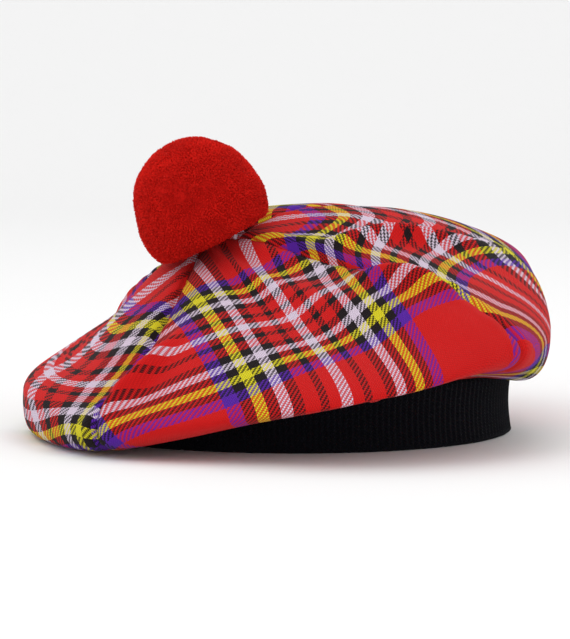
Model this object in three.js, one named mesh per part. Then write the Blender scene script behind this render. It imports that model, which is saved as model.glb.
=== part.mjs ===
// A soft tartan tam o' shanter: four quarter panels of cloth, a ribbed knit headband and a pompom.
// Millimetres, +Z up. The origin is the middle of the head opening, on the headband's lower edge.
import * as THREE from "three";

// ---- driving sizes ----
const CLOTH = { thickness: 2.0, seamGap: 0.4 };
const BAND = { halfLength: 96, halfWidth: 80, turn: -8, thickness: 3.5, height: 26.6, waist: 1.2 };
const HEM_HEIGHT = 27;
const BAND_CLEARANCE = 1.2; // between the knit and the hem sewn round it
const APEX = new THREE.Vector3(-33.3, -5, 81.7);
const APEX_HOLE = 0.07; // the share of each spoke that the panels leave open where they meet
const POMPOM = { radius: 25.7, baseDepth: 17, flare: 0.13, flareFrom: 75, flareOver: 50 };
const POMPOM_SEAT = new THREE.Vector3(-30.5, -6, 81.9); // the middle of the pompom's base
const POMPOM_LEAN = new THREE.Vector3(-0.488, -0.123, 1).normalize(); // from its base to its top
const STEPS = { aroundPanel: 12, crown: 13, under: 7, aroundBand: 64, aroundPompom: 24, downPompom: 11 };
const COLOUR = { cloth: 0xc4201f, knit: 0x0a0b10, wool: 0xd0140e };
const DOME_POWER = 0.625; // rounds the shoulder between the top of the crown and its rim
const RIM_GUARD = 0.75; // the share of a valley that is gone at the rim

// One row for each twelfth of the crown, three to a panel, starting at the seam at the front left.
// bearing: where the rim is, degrees from +X; reach: rim to the origin; rim: its height; fullness: how flat
// the top is before it turns down; crest: extra height half-way out; drop: how far the cloth hangs below the
// rim; ease: length of cloth over length of surface, under 1 where the cloth is stretched.
const SPOKES = [
  { bearing: -128, reach: 120.5, rim: 11.9, fullness: 0.67, crest: 4.8, drop: 12.5, ease: 1.01 },
  { bearing: -99.7, reach: 114.5, rim: 18, fullness: 0.66, crest: 3.4, drop: 6.5, ease: 0.97 },
  { bearing: -71, reach: 128, rim: 28.4, fullness: 0.79, crest: -4.8, drop: 2, ease: 0.97 },
  { bearing: -45, reach: 126.8, rim: 41.8, fullness: 1.01, crest: 7.1, drop: 8.4, ease: 1.08 },
  { bearing: -19.2, reach: 114.1, rim: 43.4, fullness: 3.5, crest: 1, drop: 19.1, ease: 0.98 },
  { bearing: 5.3, reach: 107.7, rim: 59.6, fullness: 5.2, crest: 7.2, drop: 26.6, ease: 0.8 },
  { bearing: 36.3, reach: 112.4, rim: 72.8, fullness: 2.9, crest: 12.1, drop: 22.3, ease: 0.97 },
  { bearing: 77.3, reach: 105.2, rim: 49.6, fullness: 2.9, crest: 12.1, drop: 22, ease: 1 },
  { bearing: 104.4, reach: 105.7, rim: 46.6, fullness: 2.35, crest: 4.8, drop: 21.9, ease: 1 },
  { bearing: 132.5, reach: 106.3, rim: 38.9, fullness: 1.6, crest: 1.5, drop: 22, ease: 1 },
  { bearing: 150.7, reach: 101, rim: 23.8, fullness: 1.3, crest: 1.6, drop: 22, ease: 0.97 },
  { bearing: 205.6, reach: 116, rim: 18, fullness: 0.99, crest: -10, drop: 21.5, ease: 0.85 },
];

// Valleys are negative, puffs positive. place: quarter turns round the crown from the first seam; out: how
// far from the apex along the cloth; slant: quarter turns sideways for each 100 mm outwards.
const FOLDS = [
  { place: 0, out: 62, slant: 0, halfLength: 65, halfWidth: 0.18, depth: -9 },
  { place: 1, out: 62, slant: 0, halfLength: 42, halfWidth: 0.17, depth: -7 },
  { place: 0.96, out: 110.6, slant: 0.17, halfLength: 36, halfWidth: 0.04, depth: 9.3 },
  { place: 0.83, out: 101, slant: 0.26, halfLength: 139, halfWidth: 0.11, depth: 6 },
  { place: 0.04, out: 101, slant: -0.32, halfLength: 40.7, halfWidth: 0.04, depth: 9.9 },
  { place: 3.74, out: 83.7, slant: 0.91, halfLength: 103, halfWidth: 0.3, depth: -9.1 },
  { place: 1.34, out: 79, slant: 0.76, halfLength: 27.7, halfWidth: 0.09, depth: 8.2 },
  { place: 2, out: 120.7, slant: 0, halfLength: 85, halfWidth: 0.06, depth: -9.8 },
  { place: 3, out: 59, slant: 0, halfLength: 48, halfWidth: 0.6, depth: -4.5 },
  { place: 2.4, out: 14, slant: 0, halfLength: 24, halfWidth: 0.8, depth: -5 },
  { place: 0, out: 0, slant: 0, halfLength: 24, halfWidth: 10, depth: -1.5 },
];

const PANELS = ["crown_panel_front", "crown_panel_right", "crown_panel_back", "crown_panel_left"];
const QUARTERS = PANELS.length;
const MARGIN = 2; // steps beyond a seam, so that both neighbours work out the same seam

// ---- the crown's shape ----
const SPOKE_SPACING = 360 / SPOKES.length;

/** A column of the spoke table at any place round the crown, smoothly between the rows. */
function column(name, place) {
  const count = SPOKES.length;
  const x = (place * count) / QUARTERS;
  const i = Math.floor(x);
  const f = x - i;
  const value = (k) => {
    const row = SPOKES[(((i + k) % count) + count) % count];
    if (name !== "bearing") return row[name];
    const even = SPOKES[0].bearing + SPOKE_SPACING * SPOKES.indexOf(row);
    return THREE.MathUtils.euclideanModulo(row.bearing - even + 180, 360) - 180;
  };
  const [a, b, c, d] = [-1, 0, 1, 2].map(value);
  return b + 0.5 * f * (c - a + f * (2 * a - 5 * b + 4 * c - d + f * (3 * (b - c) + d - a)));
}

/** The headband's outer outline at a bearing in radians. */
function bandReach(bearing, inset = 0) {
  const along = bearing - THREE.MathUtils.degToRad(BAND.turn);
  const x = Math.cos(along) / (BAND.halfLength - inset);
  const y = Math.sin(along) / (BAND.halfWidth - inset);
  return 1 / Math.hypot(x, y);
}

/** The points of one spoke from the apex over the rim to the hem, before the folds are pressed in. */
function spoke(place) {
  const even = SPOKES[0].bearing + place * (360 / QUARTERS);
  const bearing = THREE.MathUtils.degToRad(even + column("bearing", place));
  const names = ["reach", "rim", "fullness", "crest", "drop"];
  const [reach, rim, fullness, crest, drop] = names.map((name) => column(name, place));
  const outward = new THREE.Vector3(Math.cos(bearing), Math.sin(bearing), 0);
  const edge = outward.clone().multiplyScalar(reach).setZ(rim);
  const points = [];
  for (let k = 0; k <= STEPS.crown; k++) {
    const q = APEX_HOLE + ((1 - APEX_HOLE) * k) / STEPS.crown;
    const share = Math.sin((q * Math.PI) / 2);
    const height = Math.max(0, 1 - share ** fullness) ** DOME_POWER;
    const point = APEX.clone().lerp(edge, share);
    point.z = rim + (APEX.z - rim) * height + crest * Math.sin(Math.PI * share);
    points.push(point);
  }
  const hem = outward.clone().multiplyScalar(bandReach(bearing)).setZ(HEM_HEIGHT);
  const low = rim - 1.15 * drop;
  const under = new THREE.CubicBezierCurve3(
    edge,
    hem.clone().lerp(edge, 1.02).setZ(low),
    hem.clone().lerp(edge, 0.25).setZ(low),
    hem,
  );
  for (let k = 1; k <= STEPS.under; k++) points.push(under.getPoint(k / STEPS.under));
  return points;
}

/** How far each point of a spoke is from the apex along the cloth. */
function lengths(points) {
  const out = [points[0].distanceTo(APEX)];
  for (let k = 1; k < points.length; k++) out.push(out[k - 1] + points[k].distanceTo(points[k - 1]));
  return out;
}

/** The depth of all folds at a place, that far from the apex. */
function foldDepth(place, out) {
  let depth = 0;
  for (const fold of FOLDS) {
    const along = Math.min(1, Math.abs(out - fold.out) / fold.halfLength);
    const middle = fold.place + (fold.slant * (out - fold.out)) / 100;
    const aside = THREE.MathUtils.euclideanModulo(place - middle + 2, QUARTERS) - 2;
    depth += fold.depth * (1 - along ** 2) ** 2 * Math.exp(-((aside / fold.halfWidth) ** 2));
  }
  return depth;
}

/** What is left of a fold's depth at a step of a spoke: less of a valley at the tight rim, nothing at the hem. */
function eased(depth, step) {
  const { smoothstep } = THREE.MathUtils;
  const valley = 1 - RIM_GUARD * smoothstep(step, STEPS.crown / 2, STEPS.crown);
  const hem = 1 - smoothstep(step, STEPS.crown, STEPS.crown + STEPS.under);
  return depth * hem * (depth < 0 ? valley : 1);
}

/** Unit normals of a grid of points, rows along the spokes, pointing out of the crown. */
function gridNormals(rows) {
  return rows.map((row, i) =>
    row.map((_, j) => {
      const across = rows[Math.min(i + 1, rows.length - 1)][j].clone().sub(rows[Math.max(i - 1, 0)][j]);
      const along = row[Math.min(j + 1, row.length - 1)].clone().sub(row[Math.max(j - 1, 0)]);
      return along.cross(across).normalize();
    }),
  );
}

/** Moves every point of a grid along its normal by amount(i, j). */
function pushed(rows, normals, amount) {
  return rows.map((row, i) => row.map((p, j) => p.clone().addScaledVector(normals[i][j], amount(i, j))));
}

/** The outer face of a quarter, a margin of steps wider than the quarter on each side. */
function quarterFace(quarter) {
  const places = [];
  for (let i = -MARGIN; i <= STEPS.aroundPanel + MARGIN; i++) places.push(quarter + i / STEPS.aroundPanel);
  const rows = places.map(spoke);
  const out = rows.map((row, i) => lengths(row).map((length) => length * column("ease", places[i])));
  return pushed(rows, gridNormals(rows), (i, j) => eased(foldDepth(places[i], out[i][j]), j));
}

// ---- closed shells ----
/** A closed mesh of two matching grids and the four strips between their edges. */
function shell(outer, inner) {
  const [m, n] = [outer.length, outer[0].length];
  const points = [...outer.flat(), ...inner.flat()];
  const at = (face, i, j) => face * m * n + i * n + j;
  const index = [];
  const quad = (a, b, c, d) => index.push(a, b, c, a, c, d);
  for (let i = 0; i < m - 1; i++) {
    for (let j = 0; j < n - 1; j++) {
      quad(at(0, i, j), at(0, i, j + 1), at(0, i + 1, j + 1), at(0, i + 1, j));
      quad(at(1, i, j), at(1, i + 1, j), at(1, i + 1, j + 1), at(1, i, j + 1));
    }
    quad(at(0, i, 0), at(0, i + 1, 0), at(1, i + 1, 0), at(1, i, 0));
    quad(at(0, i, n - 1), at(1, i, n - 1), at(1, i + 1, n - 1), at(0, i + 1, n - 1));
  }
  for (let j = 0; j < n - 1; j++) {
    quad(at(0, 0, j), at(1, 0, j), at(1, 0, j + 1), at(0, 0, j + 1));
    quad(at(0, m - 1, j), at(0, m - 1, j + 1), at(1, m - 1, j + 1), at(1, m - 1, j));
  }
  const geometry = new THREE.BufferGeometry().setFromPoints(points);
  geometry.setIndex(index);
  geometry.computeVertexNormals();
  return geometry;
}

/** Pulls the two outermost rows of a grid in from the seams, so that neighbours don't touch. */
function seamed(rows) {
  const step = CLOTH.seamGap / 2;
  const pull = (from, to) => from.map((p, j) => p.clone().add(to[j].clone().sub(p).setLength(step)));
  const last = rows.length - 1;
  return rows.map((row, i) => {
    if (i === 0) return pull(row, rows[1]);
    if (i === last) return pull(row, rows[last - 1]);
    return row;
  });
}

function crownPanel(quarter) {
  const wide = quarterFace(quarter);
  const normals = gridNormals(wide);
  const inner = pushed(wide, normals, () => -CLOTH.thickness);
  return shell(seamed(wide.slice(MARGIN, -MARGIN)), seamed(inner.slice(MARGIN, -MARGIN)));
}

function headband() {
  const { thickness, height, waist } = BAND;
  const profile = [
    [0, 0],
    [waist, height / 2],
    [0, height],
  ];
  const ring = (inset, z) => {
    const row = [];
    for (let k = 0; k < STEPS.aroundBand; k++) {
      const bearing = (2 * Math.PI * k) / STEPS.aroundBand;
      const reach = bandReach(bearing, inset);
      row.push(new THREE.Vector3(reach * Math.cos(bearing), reach * Math.sin(bearing), z));
    }
    return row;
  };
  const outside = profile.map(([inset, z]) => ring(BAND_CLEARANCE + inset, z));
  const inside = profile.map(([inset, z]) => ring(BAND_CLEARANCE + inset + thickness, z)).reverse();
  const loop = [...outside, ...inside];
  const index = [];
  const count = STEPS.aroundBand;
  loop.forEach((_, i) => {
    const next = (i + 1) % loop.length;
    for (let k = 0; k < count; k++) {
      const after = (k + 1) % count;
      const [a, b, c, d] = [i * count + k, i * count + after, next * count + after, next * count + k];
      index.push(a, b, c, a, c, d);
    }
  });
  const geometry = new THREE.BufferGeometry().setFromPoints(loop.flat());
  geometry.setIndex(index);
  geometry.computeVertexNormals();
  return geometry;
}

/** The pompom's size at an angle from its top, in degrees: a ball that flares a little towards the base. */
function pompomReach(angle) {
  const { radius, flare, flareFrom, flareOver } = POMPOM;
  return radius * (1 + flare * THREE.MathUtils.smoothstep(angle, flareFrom, flareFrom + flareOver));
}

/** The pompom's outer form, turned about the Z axis, cut flat at its base, its middle at the origin. */
function pompomBall() {
  const { baseDepth } = POMPOM;
  const height = (angle) => pompomReach(angle) * Math.cos(THREE.MathUtils.degToRad(angle));
  let rim = 90;
  while (-height(rim) < baseDepth) rim += 0.25;
  const profile = [new THREE.Vector2(0, -baseDepth)];
  for (let k = STEPS.downPompom; k >= 0; k--) {
    const angle = (rim * k) / STEPS.downPompom;
    const across = pompomReach(angle) * Math.sin(THREE.MathUtils.degToRad(angle));
    profile.push(new THREE.Vector2(across, Math.max(height(angle), -baseDepth)));
  }
  const geometry = new THREE.LatheGeometry(profile, STEPS.aroundPompom);
  geometry.rotateX(Math.PI / 2);
  return geometry;
}

// ---- assembly ----
function named(name, geometry, color, roughness) {
  const mesh = new THREE.Mesh(geometry, new THREE.MeshStandardMaterial({ color, roughness, metalness: 0 }));
  mesh.name = name;
  return mesh;
}

const tam = new THREE.Group();
PANELS.forEach((name, quarter) => tam.add(named(name, crownPanel(quarter), COLOUR.cloth, 0.85)));
tam.add(named("headband", headband(), COLOUR.knit, 0.9));

const pompom = named("pompom", pompomBall(), COLOUR.wool, 0.95);
pompom.position.copy(POMPOM_SEAT).addScaledVector(POMPOM_LEAN, POMPOM.baseDepth);
pompom.quaternion.setFromUnitVectors(new THREE.Vector3(0, 0, 1), POMPOM_LEAN);
tam.add(pompom);

export default tam;
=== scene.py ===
"""A soft tartan tam o' shanter with a ribbed knit headband and a trimmed wool pompom.

Lengths inside the classes are in millimetres, as a hatter would write them. They become metres when a mesh
is made.
"""

import logging
import math
from dataclasses import dataclass, field
from enum import Enum

import bpy
import numpy as np
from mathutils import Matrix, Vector


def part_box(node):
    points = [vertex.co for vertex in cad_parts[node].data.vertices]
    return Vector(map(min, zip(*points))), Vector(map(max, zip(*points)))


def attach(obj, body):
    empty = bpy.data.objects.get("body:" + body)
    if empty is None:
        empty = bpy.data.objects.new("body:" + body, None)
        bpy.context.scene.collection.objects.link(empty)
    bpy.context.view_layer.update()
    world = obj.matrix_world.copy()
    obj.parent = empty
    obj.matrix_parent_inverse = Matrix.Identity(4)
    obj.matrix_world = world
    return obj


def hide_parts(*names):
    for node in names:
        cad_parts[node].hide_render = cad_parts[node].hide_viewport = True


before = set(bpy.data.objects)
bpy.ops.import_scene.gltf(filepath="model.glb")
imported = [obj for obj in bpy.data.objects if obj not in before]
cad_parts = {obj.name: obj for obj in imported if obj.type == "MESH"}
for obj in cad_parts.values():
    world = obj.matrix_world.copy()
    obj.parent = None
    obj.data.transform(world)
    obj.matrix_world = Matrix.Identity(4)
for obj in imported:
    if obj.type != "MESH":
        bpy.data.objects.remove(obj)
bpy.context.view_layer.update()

Array = np.ndarray
Socket = bpy.types.NodeSocket
Colour = tuple[float, float, float]

LOG = logging.getLogger("tam")
MM = 0.001
BODY = "root"
QUARTERS = 4


class Quarter(Enum):
    """The crown's four panels, in order round it from the seam at the front left."""

    FRONT = 0
    RIGHT = 1
    BACK = 2
    LEFT = 3

    @property
    def node(self) -> str:
        """The frame's name for the panel."""
        return f"crown_panel_{self.name.lower()}"


class Slot(Enum):
    """The record's material slots."""

    CLOTH = "tartan_cloth"
    KNIT = "ribbed_knit"
    WOOL = "pompom_wool"


# ---------------------------------------------------------------- meshes from arrays


def unit(vectors: Array) -> Array:
    """Scales vectors on the last axis to length one.

    Args:
        vectors: any array of vectors.

    Returns:
        The same array of directions.
    """
    return vectors / np.maximum(np.linalg.norm(vectors, axis=-1, keepdims=True), 1e-12)


def smooth_step(values: Array, low: float, high: float) -> Array:
    """Rises smoothly from 0 at low to 1 at high.

    Args:
        values: where to work it out.
        low: where the rise starts.
        high: where it ends.

    Returns:
        The step at each value.
    """
    share = np.clip((values - low) / (high - low), 0, 1)
    return share**2 * (3 - 2 * share)


def grid_normals(points: Array) -> Array:
    """Works out the normals of a grid: the step down the grid crossed with the step across it.

    Args:
        points: rows across, columns down, three coordinates.

    Returns:
        Unit normals of the same shape.
    """
    return unit(np.cross(np.gradient(points, axis=1), np.gradient(points, axis=0)))


def grid_quads(across: int, down: int, start: int = 0) -> Array:
    """Numbers the four corners of each cell of a grid.

    Args:
        across: points on the first axis.
        down: points on the second axis.
        start: number of the grid's first point.

    Returns:
        One row of four point numbers for each cell.
    """
    i, j = np.meshgrid(np.arange(across - 1), np.arange(down - 1), indexing="ij")
    corner = (start + i * down + j).ravel()
    return np.stack([corner, corner + 1, corner + down + 1, corner + down], axis=1)


def make_piece(
    name: str, points: Array, faces: Array, uv: tuple[str, Array] | None = None
) -> bpy.types.Object:
    """Makes a smooth mesh object at the origin, riding on the hat.

    Args:
        name: the piece's name.
        points: point coordinates in millimetres.
        faces: rows of three or four point numbers.
        uv: name and point coordinates of its own map.

    Returns:
        The new object.
    """
    mesh = bpy.data.meshes.new(name)
    mesh.from_pydata((points * MM).tolist(), [], faces.tolist())
    if uv is not None:
        layer = mesh.uv_layers.new(name=uv[0])
        layer.data.foreach_set("uv", uv[1][faces.ravel()].astype(np.float32).ravel())
    mesh.polygons.foreach_set("use_smooth", np.ones(len(faces), dtype=bool))
    mesh.update()
    piece = bpy.data.objects.new(name, mesh)
    bpy.context.scene.collection.objects.link(piece)
    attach(piece, BODY)
    return piece


# ---------------------------------------------------------------- shader building


class Wiring:
    """Adds shader nodes to one tree and joins them up."""

    def __init__(self, tree: bpy.types.NodeTree) -> None:
        """Keeps the tree that the nodes go into."""
        self.tree = tree

    def feed(self, socket: Socket, value: object) -> None:
        """Links an output to a socket, or sets the socket to a plain value."""
        if isinstance(value, bpy.types.NodeSocket):
            self.tree.links.new(value, socket)
        else:
            socket.default_value = value

    def node(self, kind: str, inputs: dict | None = None, **settings: object) -> bpy.types.Node:
        """Adds a node.

        Args:
            kind: the node's Blender type name.
            inputs: values or outputs for its sockets, by name or number.
            settings: the node's own settings.

        Returns:
            The new node.
        """
        made = self.tree.nodes.new(kind)
        for name, value in settings.items():
            setattr(made, name, value)
        for key, value in (inputs or {}).items():
            self.feed(made.inputs[key], value)
        return made

    def maths(self, operation: str, *values: object) -> Socket:
        """Adds a Math node on one to three values and returns its output."""
        return self.node("ShaderNodeMath", dict(enumerate(values)), operation=operation).outputs[0]

    def blend(self, share: object, a: object, b: object) -> Socket:
        """Mixes two numbers: a where share is 0, b where it is 1."""
        return self.node("ShaderNodeMix", {0: share, 2: a, 3: b}).outputs[0]

    def tint(self, share: object, a: object, b: object, way: str = "MIX") -> Socket:
        """Mixes two colours by a share, in one of the Mix node's ways."""
        return self.node("ShaderNodeMix", {0: share, 6: a, 7: b}, data_type="RGBA", blend_type=way).outputs[2]

    def ramp(self, value: object, stops: list[tuple[float, Colour]], interpolation: str) -> Socket:
        """Looks a value up in a row of colours.

        Args:
            value: the value from 0 to 1.
            stops: where each colour starts, and the colour.
            interpolation: the ramp's way between the stops.

        Returns:
            The colour output.
        """
        made = self.node("ShaderNodeValToRGB", {0: value})
        made.color_ramp.interpolation = interpolation
        elements = made.color_ramp.elements
        while len(elements) > 1:
            elements.remove(elements[-1])
        elements[0].position = stops[0][0]
        elements[0].color = (*stops[0][1], 1)
        for position, colour in stops[1:]:
            elements.new(position).color = (*colour, 1)
        return made.outputs[0]


def fibre_group() -> bpy.types.NodeTree:
    """Builds the group for loose wool fibre, used on every yarn: soft specks that darken it and lift the surface.

    Returns:
        The node group, with Colour, Scale and Depth in, and Colour and Height out.
    """
    group = bpy.data.node_groups.new("wool_fibre", "ShaderNodeTree")
    for name, kind, way in (
        ("Colour", "NodeSocketColor", "INPUT"),
        ("Scale", "NodeSocketFloat", "INPUT"),
        ("Depth", "NodeSocketFloat", "INPUT"),
        ("Colour", "NodeSocketColor", "OUTPUT"),
        ("Height", "NodeSocketFloat", "OUTPUT"),
    ):
        group.interface.new_socket(name, in_out=way, socket_type=kind)
    wires = Wiring(group)
    given = wires.node("NodeGroupInput").outputs
    place = wires.node("ShaderNodeTexCoord").outputs["Object"]
    grain = {"Vector": place, "Scale": given["Scale"], "Detail": 3.0, "Roughness": 0.6}
    fine = wires.node("ShaderNodeTexNoise", grain)
    wide = wires.node("ShaderNodeTexNoise", {"Vector": place, "Scale": 60.0, "Detail": 2.0})
    speck = wires.maths("MULTIPLY_ADD", fine.outputs[0], 0.7, wires.maths("MULTIPLY", wide.outputs[0], 0.3))
    dark = wires.maths("MULTIPLY", wires.maths("SUBTRACT", 1.0, speck), given["Depth"])
    shade = wires.maths("SUBTRACT", 1.0, dark)
    grey = wires.node("ShaderNodeCombineXYZ", {0: shade, 1: shade, 2: shade}).outputs[0]
    colour = wires.tint(1.0, given["Colour"], grey, "MULTIPLY")
    wires.node("NodeGroupOutput", {"Colour": colour, "Height": speck})
    return group


class Finish:
    """What every finish shares: a material with one Principled shader and the wool fibre group."""

    fibre: bpy.types.NodeTree | None = None

    def start(self, name: str) -> tuple[Wiring, bpy.types.Material]:
        """Makes an empty material.

        Args:
            name: the material's name.

        Returns:
            The wiring of its tree, and the material.
        """
        material = bpy.data.materials.new(name)
        material.use_nodes = True
        material.node_tree.nodes.clear()
        return Wiring(material.node_tree), material

    def fuzzed(self, wires: Wiring, colour: object, scale: float, depth: float) -> bpy.types.Node:
        """Adds the wool fibre group to a material.

        Args:
            wires: the material's wiring.
            colour: the yarn's colour.
            scale: specks to the metre.
            depth: how much the specks darken.

        Returns:
            The group node.
        """
        if Finish.fibre is None:
            Finish.fibre = fibre_group()
        group = wires.node("ShaderNodeGroup", node_tree=Finish.fibre)
        for key, value in (("Colour", colour), ("Scale", scale), ("Depth", depth)):
            wires.feed(group.inputs[key], value)
        return group

    def surface(self, wires: Wiring, colour: Socket, height: Socket, relief: float, gloss: dict) -> None:
        """Ends a material in its bump and Principled shader.

        Args:
            wires: the material's wiring.
            colour: the base colour.
            height: the bump's height.
            relief: what a height of 1 stands for, in millimetres.
            gloss: constants for the shader's own sockets.
        """
        bump = wires.node("ShaderNodeBump", {"Height": height, "Distance": relief * MM, "Strength": 1.0})
        given = {"Base Color": colour, "Normal": bump.outputs[0], **gloss}
        shader = wires.node("ShaderNodeBsdfPrincipled", given)
        wires.node("ShaderNodeOutputMaterial", {"Surface": shader.outputs[0]})


# ---------------------------------------------------------------- the tartan


class Yarn(Enum):
    """The yarns of the sett in their dye colours, as linear colours."""

    WHITE = (0.88, 0.74, 0.90)
    RED = (0.80, 0.0095, 0.009)
    BLACK = (0.012, 0.006, 0.008)
    YELLOW = (0.88, 0.78, 0.02)
    PURPLE = (0.12, 0.018, 0.45)


@dataclass(frozen=True)
class TartanFinish(Finish):
    """A tartan in 2/2 twill, the same in warp and weft. The sett is mirrored in the middle of its first stripe and
    at the end of its last."""

    sett: tuple[tuple[Yarn, float], ...] = (
        (Yarn.WHITE, 3.5),
        (Yarn.RED, 7),
        (Yarn.BLACK, 5),
        (Yarn.RED, 9),
        (Yarn.BLACK, 7),
        (Yarn.WHITE, 7),
        (Yarn.BLACK, 7),
        (Yarn.YELLOW, 7),
        (Yarn.BLACK, 7),
        (Yarn.PURPLE, 9),
        (Yarn.RED, 35),
    )
    float_length: int = 2
    wobble: float = 0.24
    bare_below: float = 0.30
    covered_above: float = 0.62
    gap_shade: float = 0.62
    relief: float = 0.20
    map_name: str = "weave"

    def stripes(self, wires: Wiring, thread: Socket) -> Socket:
        """Gives the colour of a thread by its number from the pivot of the sett.

        Args:
            wires: the material's wiring.
            thread: the thread's number.

        Returns:
            The yarn's colour.
        """
        half = sum(count for _, count in self.sett)
        folded = wires.maths("PINGPONG", wires.maths("ABSOLUTE", thread), float(half))
        stops, done = [], 0
        for yarn, count in self.sett:
            stops.append((done / half, yarn.value))
            done += count
        return wires.ramp(wires.maths("DIVIDE", folded, float(half)), stops, "CONSTANT")

    def material(self) -> bpy.types.Material:
        """Weaves the cloth: a warp thread lies on top where the two thread numbers add up to 0 or 1 in each 4.

        Returns:
            The material.
        """
        wires, material = self.start(Slot.CLOTH.value)
        place = wires.node("ShaderNodeUVMap", uv_map=self.map_name).outputs[0]
        drift = {"Vector": place, "Scale": 0.55, "Detail": 2.0}
        stray = wires.node("ShaderNodeTexNoise", drift, noise_dimensions="2D")
        middle = {0: stray.outputs[1], 1: (0.5, 0.5, 0.5)}
        shift = wires.node("ShaderNodeVectorMath", middle, operation="SUBTRACT")
        amount = (self.wobble,) * 3
        wobbled = {0: shift.outputs[0], 1: amount, 2: place}
        moved = wires.node("ShaderNodeVectorMath", wobbled, operation="MULTIPLY_ADD")
        half_thread = {0: moved.outputs[0], 1: (0.5, 0.5, 0.0)}
        centred = wires.node("ShaderNodeVectorMath", half_thread, operation="ADD")
        split = wires.node("ShaderNodeSeparateXYZ", {0: centred.outputs[0]}).outputs
        number = [wires.maths("FLOOR", split[axis]) for axis in (0, 1)]
        inside = [wires.maths("FRACT", split[axis]) for axis in (0, 1)]
        warp, weft = [self.stripes(wires, n) for n in number]
        period = 2.0 * self.float_length
        phase = wires.maths("FLOORED_MODULO", wires.maths("ADD", *number), period)
        warp_up = wires.maths("LESS_THAN", phase, float(self.float_length))
        along_warp = wires.maths("ADD", phase, inside[1])
        along_weft = wires.maths("ADD", wires.maths("SUBTRACT", phase, float(self.float_length)), inside[0])
        along = wires.blend(warp_up, along_weft, along_warp)
        across = wires.blend(warp_up, inside[1], inside[0])
        arch = wires.maths("SINE", wires.maths("MULTIPLY", along, math.pi / self.float_length))
        round_thread = wires.maths("SINE", wires.maths("MULTIPLY", across, math.pi))
        height = wires.maths("SQRT", wires.maths("MAXIMUM", wires.maths("MULTIPLY", arch, round_thread), 0.0))
        over = wires.tint(warp_up, weft, warp)
        under = wires.tint(warp_up, warp, weft)
        covering = {0: height, 1: self.bare_below, 2: self.covered_above}
        cover = wires.node("ShaderNodeMapRange", covering).outputs[0]
        yarn = wires.tint(cover, under, over)
        shade = wires.maths("MULTIPLY_ADD", height, 1 - self.gap_shade, self.gap_shade)
        grey = wires.node("ShaderNodeCombineXYZ", {0: shade, 1: shade, 2: shade}).outputs[0]
        shaded = wires.tint(1.0, yarn, grey, "MULTIPLY")
        fuzz = self.fuzzed(wires, shaded, 2600.0, 0.28)
        relief = wires.maths("MULTIPLY_ADD", fuzz.outputs["Height"], 0.35, height)
        gloss = {"Roughness": 0.85, "Specular IOR Level": 0.12, "Sheen Weight": 0.04, "Sheen Roughness": 0.5}
        self.surface(wires, fuzz.outputs["Colour"], relief, self.relief, gloss)
        return material


@dataclass(frozen=True)
class KnitFinish(Finish):
    """Near-black rib knit. The ribs are shaped in the mesh, and the stitches on them are V-shaped relief."""

    colour: Colour = (0.0042, 0.0042, 0.0075)
    relief: float = 0.3
    map_name: str = "stitches"

    def material(self) -> bpy.types.Material:
        """Knits the band: each rib holds a column of Vs, one V to each unit down its map.

        Returns:
            The material.
        """
        wires, material = self.start(Slot.KNIT.value)
        place = wires.node("ShaderNodeUVMap", uv_map=self.map_name).outputs[0]
        split = wires.node("ShaderNodeSeparateXYZ", {0: place}).outputs
        side = wires.maths("ABSOLUTE", wires.maths("SUBTRACT", wires.maths("FRACT", split[0]), 0.5))
        row = wires.maths("FRACT", wires.maths("MULTIPLY_ADD", side, 1.6, split[1]))
        stitch = wires.maths("SINE", wires.maths("MULTIPLY", row, math.pi))
        # painted shade: the colour darkens between the stitch rows, along with the bump
        shade = wires.maths("MULTIPLY_ADD", stitch, 0.5, 0.6)
        grey = wires.node("ShaderNodeCombineXYZ", {0: shade, 1: shade, 2: shade}).outputs[0]
        yarn = wires.tint(1.0, (*self.colour, 1), grey, "MULTIPLY")
        fuzz = self.fuzzed(wires, yarn, 2200.0, 0.4)
        height = wires.maths("MULTIPLY_ADD", fuzz.outputs["Height"], 0.5, stitch)
        gloss = {"Roughness": 0.9, "Specular IOR Level": 0.12, "Sheen Weight": 0.02, "Sheen Roughness": 0.4}
        self.surface(wires, fuzz.outputs["Colour"], height, self.relief, gloss)
        return material


@dataclass(frozen=True)
class WoolFinish(Finish):
    """Trimmed red pile with painted shade: dark at the strands' roots and between them, full red at their tips."""

    tip: Colour = (1.0, 0.017, 0.010)
    # painted shade: the dark red of the roots and the core, where the strands shade each other
    root: Colour = (0.40, 0.002, 0.001)
    relief: float = 0.25
    attribute: str = "pile"

    def material(self) -> bpy.types.Material:
        """Colours the pile with painted shade: the dark root colour is painted shade, mixed towards the tip colour
        by the painted shade in the pile attribute.

        Returns:
            The material.
        """
        wires, material = self.start(Slot.WOOL.value)
        pile = wires.node("ShaderNodeAttribute", attribute_name=self.attribute).outputs["Fac"]
        # painted shade: the pile attribute mixes the root colour towards the tip colour
        dyed_and_shaded = wires.tint(pile, (*self.root, 1), (*self.tip, 1))
        fuzz = self.fuzzed(wires, dyed_and_shaded, 1500.0, 0.45)
        gloss = {
            "Roughness": 0.9,
            "Specular IOR Level": 0.1,
            "Sheen Weight": 0.6,
            "Sheen Roughness": 0.4,
            "Sheen Tint": (1.0, 0.05, 0.03, 1.0),
        }
        self.surface(wires, fuzz.outputs["Colour"], fuzz.outputs["Height"], self.relief, gloss)
        return material


# ---------------------------------------------------------------- the crown


@dataclass(frozen=True)
class Spoke:
    """One twelfth of the way round the crown. Heights and lengths in millimetres, bearing in degrees from +X."""

    bearing: float
    reach: float
    rim: float
    fullness: float
    crest: float
    drop: float
    ease: float


@dataclass(frozen=True)
class Fold:
    """A valley (negative depth) or a puff. Place in quarter turns, slant in quarter turns for each 100 mm out."""

    place: float
    out: float
    slant: float
    half_length: float
    half_width: float
    depth: float


@dataclass(frozen=True)
class Tuck:
    """Cloth turned away into the seams of the front panel's two neighbours. All three are in threads."""

    out: float
    right: float
    left: float


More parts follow.
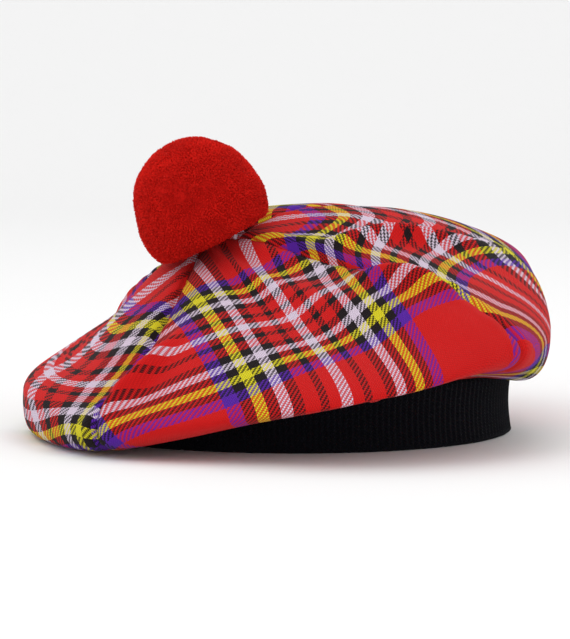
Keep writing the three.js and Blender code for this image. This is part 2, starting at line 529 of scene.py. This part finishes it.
@dataclass(frozen=True)
class BandOutline:
    """The oval that the crown's hem is sewn to."""

    half_length: float = 96.0
    half_width: float = 80.0
    turn: float = -8.0

    def reach(self, bearing: Array, inset: float | Array = 0.0) -> Array:
        """Distance from the middle to the oval: one over the length of (cos / half_length, sin / half_width).

        Args:
            bearing: radians from +X.
            inset: how far inside the oval, in millimetres.

        Returns:
            The distances in millimetres.
        """
        along = bearing - math.radians(self.turn)
        x = np.cos(along) / (self.half_length - inset)
        y = np.sin(along) / (self.half_width - inset)
        return 1 / np.hypot(x, y)


@dataclass(frozen=True)
class CrownShape:
    """The slouched crown as a surface of two parameters: the place round it and the share of the way out."""

    outline: BandOutline = BandOutline()
    apex: tuple[float, float, float] = (-33.3, -5.0, 81.7)
    apex_hole: float = 0.02
    hem_height: float = 27.0
    dome_power: float = 0.625
    rim_guard: float = 0.75
    spokes: tuple[Spoke, ...] = (
        Spoke(bearing=-128, reach=120.5, rim=11.9, fullness=0.67, crest=4.8, drop=12.5, ease=1.01),
        Spoke(bearing=-99.7, reach=114.5, rim=18.0, fullness=0.66, crest=3.4, drop=6.5, ease=0.97),
        Spoke(bearing=-71, reach=128, rim=28.4, fullness=0.79, crest=-4.8, drop=2.0, ease=0.97),
        Spoke(bearing=-45, reach=126.8, rim=41.8, fullness=1.01, crest=7.1, drop=8.4, ease=1.08),
        Spoke(bearing=-19.2, reach=114.1, rim=43.4, fullness=3.5, crest=1, drop=19.1, ease=0.98),
        Spoke(bearing=5.3, reach=107.7, rim=59.6, fullness=5.2, crest=7.2, drop=26.6, ease=0.8),
        Spoke(bearing=36.3, reach=112.4, rim=72.8, fullness=2.9, crest=12.1, drop=22.3, ease=0.97),
        Spoke(bearing=77.3, reach=105.2, rim=49.6, fullness=2.9, crest=12.1, drop=22, ease=1),
        Spoke(bearing=104.4, reach=105.7, rim=46.6, fullness=2.35, crest=4.8, drop=21.9, ease=1),
        Spoke(bearing=132.5, reach=106.3, rim=38.9, fullness=1.6, crest=1.5, drop=22, ease=1),
        Spoke(bearing=150.7, reach=101, rim=23.8, fullness=1.3, crest=1.6, drop=22, ease=0.97),
        Spoke(bearing=205.6, reach=116.0, rim=18.0, fullness=0.99, crest=-10.0, drop=21.5, ease=0.85),
    )
    folds: tuple[Fold, ...] = (
        Fold(place=0, out=62, slant=0, half_length=65, half_width=0.18, depth=-9),
        Fold(place=1, out=62, slant=0, half_length=42, half_width=0.17, depth=-7),
        Fold(place=0.96, out=110.6, slant=0.17, half_length=36, half_width=0.04, depth=9.3),
        Fold(place=0.83, out=101, slant=0.26, half_length=139, half_width=0.11, depth=6),
        Fold(place=0.04, out=101, slant=-0.32, half_length=40.7, half_width=0.04, depth=9.9),
        Fold(place=3.74, out=83.7, slant=0.91, half_length=103, half_width=0.3, depth=-9.1),
        Fold(place=1.34, out=79, slant=0.76, half_length=27.7, half_width=0.09, depth=8.2),
        Fold(place=2, out=120.7, slant=0, half_length=85, half_width=0.06, depth=-9.8),
        Fold(place=3, out=59, slant=0, half_length=48, half_width=0.6, depth=-4.5),
        Fold(place=2.4, out=14, slant=0, half_length=24, half_width=0.8, depth=-5),
        Fold(place=0, out=0, slant=0, half_length=24, half_width=10, depth=-1.5),
    )

    def between_rows(self, values: Array, place: Array) -> Array:
        """Interpolates a column of the spoke table, with a Catmull-Rom curve through its rows.

        Args:
            values: one value for each spoke.
            place: quarter turns round the crown.

        Returns:
            The value at each place.
        """
        count = len(self.spokes)
        x = place * count / QUARTERS
        row = np.floor(x).astype(int)
        f = x - row
        a, b, c, d = (values[(row + k) % count] for k in (-1, 0, 1, 2))
        return b + 0.5 * f * (c - a + f * (2 * a - 5 * b + 4 * c - d + f * (3 * (b - c) + d - a)))

    def column(self, name: str, place: Array) -> Array:
        """A column of the spoke table by name, at each place."""
        values = np.array([getattr(spoke, name) for spoke in self.spokes], dtype=float)
        return self.between_rows(values, place)

    def bearing(self, place: Array) -> Array:
        """The bearing of the rim at each place, in radians.

        Args:
            place: quarter turns round the crown.

        Returns:
            An even turn plus the table's departure from it.
        """
        rows = np.array([spoke.bearing for spoke in self.spokes], dtype=float)
        even = rows[0] + np.arange(len(rows)) * 360 / len(rows)
        departure = (rows - even + 180) % 360 - 180
        return np.radians(rows[0] + place * 360 / QUARTERS + self.between_rows(departure, place))

    def smooth(self, place: Array, crown_steps: int, under_steps: int) -> tuple[Array, Array]:
        """The crown before its folds. Over the top, a point lies between the apex and the rim by sin(share x 90
        degrees), and its height falls as (1 - share^fullness)^dome_power with a swell of crest. Below the rim, it
        follows a Bezier curve that hangs below the rim and comes in to the hem.

        Args:
            place: quarter turns round the crown.
            crown_steps: steps from the apex to the rim.
            under_steps: steps from the rim to the hem.

        Returns:
            The points, and how far each is from the apex along the cloth.
        """
        bearing = self.bearing(place)
        names = ("reach", "rim", "fullness", "crest", "drop", "ease")
        reach, rim, fullness, crest, drop, ease = (self.column(name, place)[:, None] for name in names)
        outward = np.stack([np.cos(bearing), np.sin(bearing)], axis=-1)[:, None, :]
        apex = np.array(self.apex)
        share = np.sin(np.linspace(self.apex_hole, 1, crown_steps + 1) * math.pi / 2)[None, :]
        fall = np.maximum(1 - share**fullness, 0) ** self.dome_power
        plan = apex[:2] + (outward * reach[..., None] - apex[:2]) * share[..., None]
        height = rim + (apex[2] - rim) * fall + crest * np.sin(math.pi * share)
        top = np.concatenate([plan, height[..., None]], axis=-1)
        hem = outward * self.outline.reach(bearing)[:, None, None]
        edge = outward * reach[..., None]
        low = rim - 1.15 * drop
        t = np.linspace(0, 1, under_steps + 1)[None, 1:, None]
        controls = (
            (edge, rim),
            (hem + 1.02 * (edge - hem), low),
            (hem + 0.25 * (edge - hem), low),
            (hem, np.full_like(rim, self.hem_height)),
        )
        weights = ((1 - t) ** 3, 3 * t * (1 - t) ** 2, 3 * t**2 * (1 - t), t**3)
        under = sum(w * np.concatenate([xy, z[..., None]], axis=-1) for w, (xy, z) in zip(weights, controls))
        points = np.concatenate([top, under], axis=1)
        step = np.linalg.norm(np.diff(points, axis=1), axis=-1)
        start = np.linalg.norm(points[:, :1] - apex, axis=-1)
        out = np.concatenate([start, start + np.cumsum(step, axis=1)], axis=1) * ease
        return points, out

    def fold_depth(self, place: Array, out: Array) -> Array:
        """Adds up the folds: each is (1 - along^2)^2 down its length and a bell curve across it.

        Args:
            place: quarter turns round the crown, one for each row.
            out: millimetres from the apex along the cloth.

        Returns:
            How far each point is pushed out.
        """
        depth = np.zeros_like(out)
        for fold in self.folds:
            along = np.clip(np.abs(out - fold.out) / fold.half_length, 0, 1)
            middle = fold.place + fold.slant * (out - fold.out) / 100
            aside = (place[:, None] - middle + 2) % QUARTERS - 2
            depth += fold.depth * (1 - along**2) ** 2 * np.exp(-((aside / fold.half_width) ** 2))
        return depth


@dataclass(frozen=True)
class WeaveLayout:
    """Where the threads run on a panel: each is a gore cut with its middle line along the weft's normal."""

    pitch: float = 0.583
    gore: float = 36.0
    weft_pivot: float = 128.0
    tucks: tuple[Tuck, ...] = (
        Tuck(out=0, right=0, left=0),
        Tuck(out=79, right=0, left=-14),
        Tuck(out=128, right=48, left=6),
        Tuck(out=163, right=85, left=44),
        Tuck(out=192, right=112, left=65),
        Tuck(out=222, right=124, left=70),
        Tuck(out=251, right=117, left=70),
        Tuck(out=303, right=111, left=70),
    )
    left_pivot: float = 12.0
    other_pivot: float = 21.0

    def threads(self, quarter: Quarter, share: Array, out: Array) -> Array:
        """Numbers the threads at each point, counted from the pivots of the sett.

        Args:
            quarter: the panel.
            share: 0 to 1 across the panel, one for each row.
            out: millimetres of cloth from the apex.

        Returns:
            Warp and weft numbers on the last axis.
        """
        angle = np.radians(self.gore) * (2 * share[:, None] - 1)
        weft = out / self.pitch * np.cos(angle)
        steep = math.tan(math.radians(self.gore))
        table = np.array([[row.out, row.right, row.left] for row in self.tucks])
        hidden_right = np.interp(weft, table[:, 0], table[:, 1]) if quarter is Quarter.RIGHT else 0
        hidden_left = np.interp(weft, table[:, 0], table[:, 2]) if quarter is Quarter.LEFT else 0
        low = -weft * steep + hidden_right
        high = weft * steep - hidden_left
        warp = low + (high - low) * (np.tan(angle) / steep + 1) / 2
        pivot = self.left_pivot if quarter is Quarter.LEFT else self.other_pivot
        return np.stack([warp - pivot, weft - self.weft_pivot], axis=-1)


@dataclass(frozen=True)
class SeamShape:
    """How the cloth sinks into a seam, with the soft ridge of its turned-in edge and small puckers beside it."""

    depth: float = 1.3
    width: float = 1.5
    ridge: float = 0.45
    ridge_at: float = 5.0
    ridge_width: float = 3.0
    pucker: float = 0.3
    pucker_every: float = 11.0
    gap: float = 0.12

    def lift(self, aside: Array, out: Array) -> Array:
        """The push at a distance from the seam: a narrow sink, a low ridge beside it and waves along both.

        Args:
            aside: millimetres from the seam.
            out: millimetres from the apex.

        Returns:
            How far each point is pushed out.
        """
        sink = -self.depth * np.exp(-((aside / self.width) ** 2))
        ridge = self.ridge * np.exp(-(((aside - self.ridge_at) / self.ridge_width) ** 2))
        wave = np.sin(2 * math.pi * out / self.pucker_every + 1.7 * np.sin(out / 17))
        return sink + ridge + self.pucker * wave * np.exp(-((aside / 6) ** 2))


@dataclass
class Crown:
    """The four cloth panels of the crown."""

    shape: CrownShape = field(default_factory=CrownShape)
    layout: WeaveLayout = field(default_factory=WeaveLayout)
    seam: SeamShape = field(default_factory=SeamShape)
    finish: TartanFinish = field(default_factory=TartanFinish)
    thickness: float = 1.8
    across: int = 128
    crown_steps: int = 120
    under_steps: int = 44
    edge_crowding: float = 0.55
    margin: int = 3
    ripple_seed: int = 7
    ripple_count: int = 14

    def ripples(self, points: Array) -> Array:
        """Low unevenness of soft cloth: a sum of sines of the place in space, each 22 to 60 mm long.

        Args:
            points: the grid's points.

        Returns:
            How far each point is pushed out.
        """
        rng = np.random.default_rng(self.ripple_seed)
        ways = unit(rng.normal(size=(self.ripple_count, 3)))
        lengths = rng.uniform(22, 60, self.ripple_count)
        starts = rng.uniform(0, 2 * math.pi, self.ripple_count)
        waves = np.sin(points @ (ways * (2 * math.pi / lengths)[:, None]).T + starts)
        return waves @ (lengths / lengths.sum()) * 0.9

    def shares(self) -> Array:
        """Positions across a panel, crowded towards both seams, with a margin beyond each."""
        x = np.arange(-self.margin, self.across + self.margin + 1) / self.across
        return x - self.edge_crowding * np.sin(2 * math.pi * x) / (2 * math.pi)

    def face(self, quarter: Quarter) -> tuple[Array, Array, Array]:
        """Works out a panel's outer face.

        Args:
            quarter: the panel.

        Returns:
            Its points with the margin, its share across, and its distances from the apex.
        """
        share = self.shares()
        place = quarter.value + share
        points, out = self.shape.smooth(place, self.crown_steps, self.under_steps)
        step = np.arange(self.crown_steps + self.under_steps + 1)
        left = 1 - smooth_step(step, self.crown_steps, self.crown_steps + self.under_steps)
        valley = 1 - self.shape.rim_guard * smooth_step(step, self.crown_steps / 2, self.crown_steps)
        depth = self.shape.fold_depth(place, out)
        depth = depth * left * np.where(depth < 0, valley, 1)
        points = points + grid_normals(points) * depth[..., None]
        width = np.linalg.norm(np.gradient(points, axis=0), axis=-1) / np.gradient(share)[:, None]
        aside = np.abs(share - np.round(share))[:, None] * width
        push = (self.seam.lift(aside, out) + self.ripples(points)) * left
        return points + grid_normals(points) * push[..., None], share, out

    def panel(self, quarter: Quarter) -> bpy.types.Object:
        """Makes one panel as a closed wall of cloth.

        Args:
            quarter: the panel.

        Returns:
            The panel's object.
        """
        wide, share, out = self.face(quarter)
        normals = grid_normals(wide)
        keep = slice(self.margin, -self.margin)
        outer = wide[keep]
        inner = (wide - normals * self.thickness)[keep]
        threads = self.layout.threads(quarter, share[keep], out[keep])
        for rows in (outer, inner):
            rows[0] += unit(rows[1] - rows[0]) * self.seam.gap
            rows[-1] += unit(rows[-2] - rows[-1]) * self.seam.gap
        across, down = outer.shape[:2]
        count = across * down
        number = np.arange(count).reshape(across, down)
        edge = np.concatenate([number[0], number[1:, -1], number[-1, -2::-1], number[-2:0:-1, 0]])
        after = np.roll(edge, -1)
        strip = np.stack([edge, edge + count, after + count, after], axis=1)
        front = grid_quads(across, down)
        back = grid_quads(across, down, count)[:, ::-1]
        points = np.concatenate([outer.reshape(-1, 3), inner.reshape(-1, 3)])
        weave = np.tile(threads.reshape(-1, 2), (2, 1))
        faces = np.concatenate([front, back, strip])
        piece = make_piece(f"{quarter.node}_cloth", points, faces, (self.finish.map_name, weave))
        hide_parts(quarter.node)
        return piece

    def build(self) -> list[bpy.types.Object]:
        """Makes and dresses all four panels.

        Returns:
            The panels' objects.
        """
        material = self.finish.material()
        pieces = [self.panel(quarter) for quarter in Quarter]
        for piece in pieces:
            piece.data.materials.append(material)
        return pieces


# ---------------------------------------------------------------- the headband


@dataclass
class Headband:
    """A doubled ring of rib knit, folded at the bottom edge."""

    outline: BandOutline = field(default_factory=BandOutline)
    finish: KnitFinish = field(default_factory=KnitFinish)
    clearance: float = 1.2
    thickness: float = 3.4
    waist: float = 1.0
    ribs: int = 208
    steps_per_rib: int = 8
    rib_depth: float = 0.55
    rise_steps: int = 22
    edge_steps: int = 6
    stitch_height: float = 1.3

    def profile(self, bottom: float, top: float) -> tuple[Array, Array, Array]:
        """The band's section as a closed loop: up the outside, over the top, down the inside and round the fold.

        Args:
            bottom: height of the lower edge.
            top: height of the upper edge.

        Returns:
            Inset from the outline, height, and how much of the rib shows at each step.
        """
        half = self.thickness / 2
        rise = np.linspace(0, 1, self.rise_steps)
        bend = np.linspace(0, math.pi, self.edge_steps + 2)[1:-1]
        low, high = bottom + half, top - half
        outside = self.waist * np.sin(math.pi * rise)
        inset = np.concatenate(
            [outside, half - half * np.cos(bend), self.thickness + outside[::-1], half + half * np.cos(bend)]
        )
        height = np.concatenate(
            [
                low + (high - low) * rise,
                high + half * np.sin(bend),
                high + (low - high) * rise,
                low - half * np.sin(bend),
            ]
        )
        face = np.ones(self.rise_steps)
        edge = np.abs(np.cos(bend))
        return inset, height, np.concatenate([face, edge, -face, -edge[::-1]])

    def build(self) -> list[bpy.types.Object]:
        """Carries the section round the oval, with the ribs as cosine waves on both faces.

        Returns:
            The band's object.
        """
        low_corner, high_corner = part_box("headband")
        inset, height, side = self.profile(low_corner[2] / MM, high_corner[2] / MM)
        around = self.ribs * self.steps_per_rib
        turn = np.arange(around + 1) / around
        bearing = 2 * math.pi * turn
        rib = self.rib_depth * 0.5 * (1 + np.cos(2 * math.pi * turn * self.ribs))
        depth = self.clearance + inset[None, :] + (self.rib_depth - rib)[:, None] * side[None, :]
        reach = self.outline.reach(bearing[:, None], depth)
        z = np.broadcast_to(height, reach.shape)
        points = np.stack([reach * np.cos(bearing)[:, None], reach * np.sin(bearing)[:, None], z], axis=-1)
        steps = len(inset)
        cell = grid_quads(around + 1, steps + 1)
        i, j = cell // (steps + 1), cell % (steps + 1)
        faces = (i % around) * steps + j % steps
        piece = make_piece("headband_knit", points[:-1].reshape(-1, 3), faces[:, ::-1])
        run = np.concatenate([[0], np.cumsum(np.hypot(np.diff(inset), np.diff(height)))])
        down = np.append(run, run[-1] + 1.0) / self.stitch_height
        layer = piece.data.uv_layers.new(name=self.finish.map_name)
        uv = np.stack([i * self.ribs / around, down[j]], axis=-1)[:, ::-1]
        layer.data.foreach_set("uv", uv.astype(np.float32).ravel())
        piece.data.materials.append(self.finish.material())
        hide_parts("headband")
        return [piece]


# ---------------------------------------------------------------- the pompom


@dataclass
class Pompom:
    """A trimmed wool ball: a core painted dark as shade, and strands of pile that end on the ball's outer form."""

    finish: WoolFinish = field(default_factory=WoolFinish)
    lean: tuple[float, float, float] = (-0.488, -0.123, 1.0)
    base_depth: float = 17.0
    flare: float = 0.13
    flare_from: float = 75.0
    flare_over: float = 50.0
    strands: int = 19000
    strand_radius: float = 0.46
    strand_length: float = 4.5
    point_length: float = 0.6
    core_gap: float = 1.3
    core_shade: float = 0.4
    sway: float = 0.06
    stray: float = 0.16
    relief: float = 0.3
    seed: int = 3
    core_around: int = 96
    core_down: int = 48

    def place(self) -> tuple[Array, float]:
        """Reads the ball's middle and radius from its box, which it fills at the left, the top and the front."""
        low, high = (np.array(corner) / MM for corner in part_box("pompom"))
        radius = (high[1] - low[1]) / 2
        return np.array([low[0] + radius, (low[1] + high[1]) / 2, high[2] - radius]), radius

    @property
    def axis(self) -> Array:
        """The direction from the flat base to the top of the ball."""
        return unit(np.array(self.lean))

    def form(self, ways: Array, radius: float) -> Array:
        """The distance of the outer form: a ball that flares by a smooth step towards the base, cut flat there.

        Args:
            ways: unit directions from the middle.
            radius: the ball's radius.

        Returns:
            The distance in each direction.
        """
        up = ways @ self.axis
        step = np.clip((np.degrees(np.arccos(np.clip(up, -1, 1))) - self.flare_from) / self.flare_over, 0, 1)
        ball = radius * (1 + self.flare * step**2 * (3 - 2 * step))
        return np.minimum(ball, self.base_depth / np.maximum(-up, 1e-6))

    def clumps(self, ways: Array) -> tuple[Array, Array]:
        """Soft clumps in the pile: a sum of sines over the ball, and the slope of that sum.

        Args:
            ways: unit directions from the middle.

        Returns:
            The height of the clumps, about -1 to 1, and its slope along the ball.
        """
        rng = np.random.default_rng(self.seed)
        count = 60
        waves = unit(rng.normal(size=(count, 3))) * rng.uniform(6, 26, (count, 1))
        phase = ways @ waves.T + rng.uniform(0, 2 * math.pi, count)
        size = 1 / np.linalg.norm(waves, axis=1)
        size = size / np.sqrt((size**2).sum() / 2)
        height = np.sin(phase) @ size * 0.6
        slope = (np.cos(phase) * size) @ waves * 0.6
        slope -= (slope * ways).sum(-1, keepdims=True) * ways
        return height, slope

    def pile(self, centre: Array, radius: float) -> tuple[Array, Array, Array]:
        """Makes the strands: three-sided, tapering to a point, spread evenly by the golden angle.

        Args:
            centre: the ball's middle.
            radius: the ball's radius.

        Returns:
            The points, the triangles, and the painted shade of each point: dark at the root, lighter at the tip,
            darker in the clumps' hollows, with random tone.
        """
        rng = np.random.default_rng(self.seed + 1)
        number = np.arange(self.strands)
        z = 1 - 2 * (number + 0.5) / self.strands
        turn = number * math.pi * (3 - math.sqrt(5))
        ways = np.stack([np.sqrt(1 - z**2) * np.cos(turn), np.sqrt(1 - z**2) * np.sin(turn), z], axis=-1)
        ways = unit(ways + rng.normal(size=ways.shape) * 0.008)
        height, slope = self.clumps(ways)
        count = len(ways)
        form = self.form(ways, radius)
        tip = ways * (form - 0.35 + self.relief * np.clip(height, -1.5, 0.6))[:, None]
        tip = tip + slope * self.sway + rng.normal(size=(count, 3)) * self.stray
        tip = tip * np.minimum((form + 0.05) / np.linalg.norm(tip, axis=-1), 1)[:, None]
        root = ways * (form - self.strand_length)[:, None]
        along = unit(tip - root)
        side = unit(np.cross(along, rng.normal(size=(count, 3))))
        other = np.cross(along, side)
        spin = np.arange(3) * 2 * math.pi / 3
        ring = np.cos(spin)[None, :, None] * side[:, None] + np.sin(spin)[None, :, None] * other[:, None]
        thick = (self.strand_radius * rng.uniform(0.8, 1.2, count))[:, None, None]
        shoulder = (tip - along * self.point_length)[:, None] + ring * thick
        foot = root[:, None] + ring * thick
        points = np.concatenate([foot, shoulder, tip[:, None]], axis=1) + centre
        sides = [[0, 1, 4], [0, 4, 3], [1, 2, 5], [1, 5, 4], [2, 0, 3], [2, 3, 5]]
        ends = [[3, 4, 6], [4, 5, 6], [5, 3, 6], [0, 2, 1]]
        faces = (np.arange(count) * points.shape[1])[:, None, None] + np.array(sides + ends)[None]
        # painted shade: tips sunk in the clumps' hollows are darker; the random part is the yarn's own uneven tone
        shade_and_tone = np.clip(0.70 + 0.22 * height + rng.normal(size=count) * 0.16, 0.1, 1)
        # painted shade along each strand: darkest at the root, 0.85 at the shoulder, full at the tip
        pile = np.stack([np.zeros(count)] * 3 + [shade_and_tone * 0.85] * 3 + [shade_and_tone], axis=1)
        return points.reshape(-1, 3), faces.reshape(-1, 3), pile.ravel()

    def core(self, centre: Array, radius: float) -> tuple[Array, Array]:
        """Makes the closed ball under the pile, from rings of directions round its axis.

        Args:
            centre: the ball's middle.
            radius: the ball's radius.

        Returns:
            The points and the triangles.
        """
        down = np.linspace(0, math.pi, self.core_down + 1)[1:-1]
        turn = np.arange(self.core_around) * 2 * math.pi / self.core_around
        side = unit(np.cross(self.axis, (0.0, 1.0, 0.0)))
        other = np.cross(self.axis, side)
        across = np.cos(turn)[:, None] * side + np.sin(turn)[:, None] * other
        rings = across[:, None] * np.sin(down)[None, :, None] + self.axis * np.cos(down)[None, :, None]
        ways = np.concatenate([rings.reshape(-1, 3), [self.axis, -self.axis]])
        points = ways * (self.form(ways, radius) - self.core_gap)[:, None] + centre
        rows = len(down)
        number = np.arange(self.core_around * rows).reshape(self.core_around, rows)
        after = np.roll(number, -1, axis=0)
        a, b, c, d = (corner.ravel() for corner in (number[:, :-1], number[:, 1:], after[:, 1:], after[:, :-1]))
        top, bottom = (np.full(self.core_around, len(points) - k) for k in (2, 1))
        caps = [
            np.stack([top, number[:, 0], after[:, 0]], axis=1),
            np.stack([bottom, after[:, -1], number[:, -1]], axis=1),
        ]
        return points, np.concatenate([np.stack([a, b, c], axis=1), np.stack([a, c, d], axis=1), *caps])

    def build(self) -> list[bpy.types.Object]:
        """Joins the core and the pile in one piece, stores their painted shade in the pile attribute and gives it
        the wool material.

        Returns:
            The pompom's object.
        """
        centre, radius = self.place()
        core_points, core_faces = self.core(centre, radius)
        pile_points, pile_faces, pile = self.pile(centre, radius)
        points = np.concatenate([core_points, pile_points])
        faces = np.concatenate([core_faces, pile_faces + len(core_points)])
        piece = make_piece("pompom_wool", points, faces)
        depth = piece.data.attributes.new(self.finish.attribute, "FLOAT", "POINT")
        # painted shade: the core under the pile gets the dark core_shade, and the strands carry their own painted
        # shade
        values = np.concatenate([np.full(len(core_points), self.core_shade), pile])
        depth.data.foreach_set("value", values.astype(np.float32))
        piece.data.materials.append(self.finish.material())
        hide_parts("pompom")
        return [piece]


# ---------------------------------------------------------------- the studio


@dataclass(frozen=True)
class Lamp:
    """A square soft light. Places in metres."""

    name: str
    place: tuple[float, float, float]
    size: float
    power: float


@dataclass
class Studio:
    """A pale sweep, soft light from above and the camera."""

    elevation: float = 5.5
    distance: float = 1.15
    target: tuple[float, float, float] = (0.0, 0.0, 0.0455)
    lens: float = 154.3
    floor_colour: Colour = (0.90, 0.90, 0.90)
    world_strength: float = 1.0
    half_width: float = 3.0
    front: float = -2.5
    back: float = 1.6
    bend: float = 0.9
    wall: float = 2.5
    lamps: tuple[Lamp, ...] = (
        Lamp("key", (-0.45, -0.55, 1.25), 0.8, 2.5),
        Lamp("top", (0.1, 0.3, 1.3), 0.8, 1.5),
    )

    def sweep(self) -> None:
        """Makes the floor, which bends up into a wall behind the hat."""
        bend = np.linspace(0, math.pi / 2, 24)
        y = np.concatenate([[self.front], self.back + self.bend * np.sin(bend), [self.back + self.bend]])
        z = np.concatenate([[0.0], self.bend * (1 - np.cos(bend)), [self.wall]])
        x = np.array([-self.half_width, self.half_width])
        points = np.stack(np.broadcast_arrays(x[:, None], y[None, :], z[None, :]), axis=-1)
        mesh = bpy.data.meshes.new("floor")
        mesh.from_pydata(points.reshape(-1, 3).tolist(), [], grid_quads(2, len(y))[:, ::-1].tolist())
        mesh.polygons.foreach_set("use_smooth", np.ones(len(mesh.polygons), dtype=bool))
        floor = bpy.data.objects.new("floor", mesh)
        bpy.context.scene.collection.objects.link(floor)
        wires, material = Finish().start("pale_floor")
        matt = {"Base Color": (*self.floor_colour, 1), "Roughness": 0.9}
        shader = wires.node("ShaderNodeBsdfPrincipled", matt)
        wires.feed(shader.inputs["Specular IOR Level"], 0.1)
        wires.node("ShaderNodeOutputMaterial", {"Surface": shader.outputs[0]})
        mesh.materials.append(material)

    def light(self) -> None:
        """Hangs the lamps and sets the soft light all round."""
        for lamp in self.lamps:
            data = bpy.data.lights.new(lamp.name, "AREA")
            data.size = lamp.size
            data.energy = lamp.power
            item = bpy.data.objects.new(lamp.name, data)
            item.location = lamp.place
            aim = Vector(self.target) - Vector(lamp.place)
            item.rotation_euler = aim.to_track_quat("-Z", "Y").to_euler()
            bpy.context.scene.collection.objects.link(item)
        world = bpy.data.worlds.new("studio")
        world.use_nodes = True
        background = world.node_tree.nodes["Background"]
        background.inputs["Color"].default_value = (1, 1, 1, 1)
        background.inputs["Strength"].default_value = self.world_strength
        bpy.context.scene.world = world

    def camera(self) -> None:
        """Sets the camera a little above the hat, level with its front."""
        tilt = math.radians(self.elevation)
        back = Vector((0, -math.cos(tilt), math.sin(tilt)))
        data = bpy.data.cameras.new("camera")
        data.lens = self.lens
        data.clip_end = 20
        item = bpy.data.objects.new("camera", data)
        item.location = Vector(self.target) + back * self.distance
        item.rotation_euler = (-back).to_track_quat("-Z", "Y").to_euler()
        bpy.context.scene.collection.objects.link(item)
        bpy.context.scene.camera = item

    def build(self) -> None:
        """Sets up the whole studio, with plain colour management."""
        self.sweep()
        self.light()
        self.camera()
        bpy.context.scene.view_settings.view_transform = "Standard"


def main() -> None:
    """Builds the studio and each part of the hat, and notes the sizes."""
    logging.basicConfig(level=logging.INFO, format="%(name)s: %(message)s")
    Studio().build()
    for part in (Crown(), Headband(), Pompom()):
        for piece in part.build():
            LOG.info("%s: %d faces", piece.name, len(piece.data.polygons))


if __name__ == "__main__":
    main()
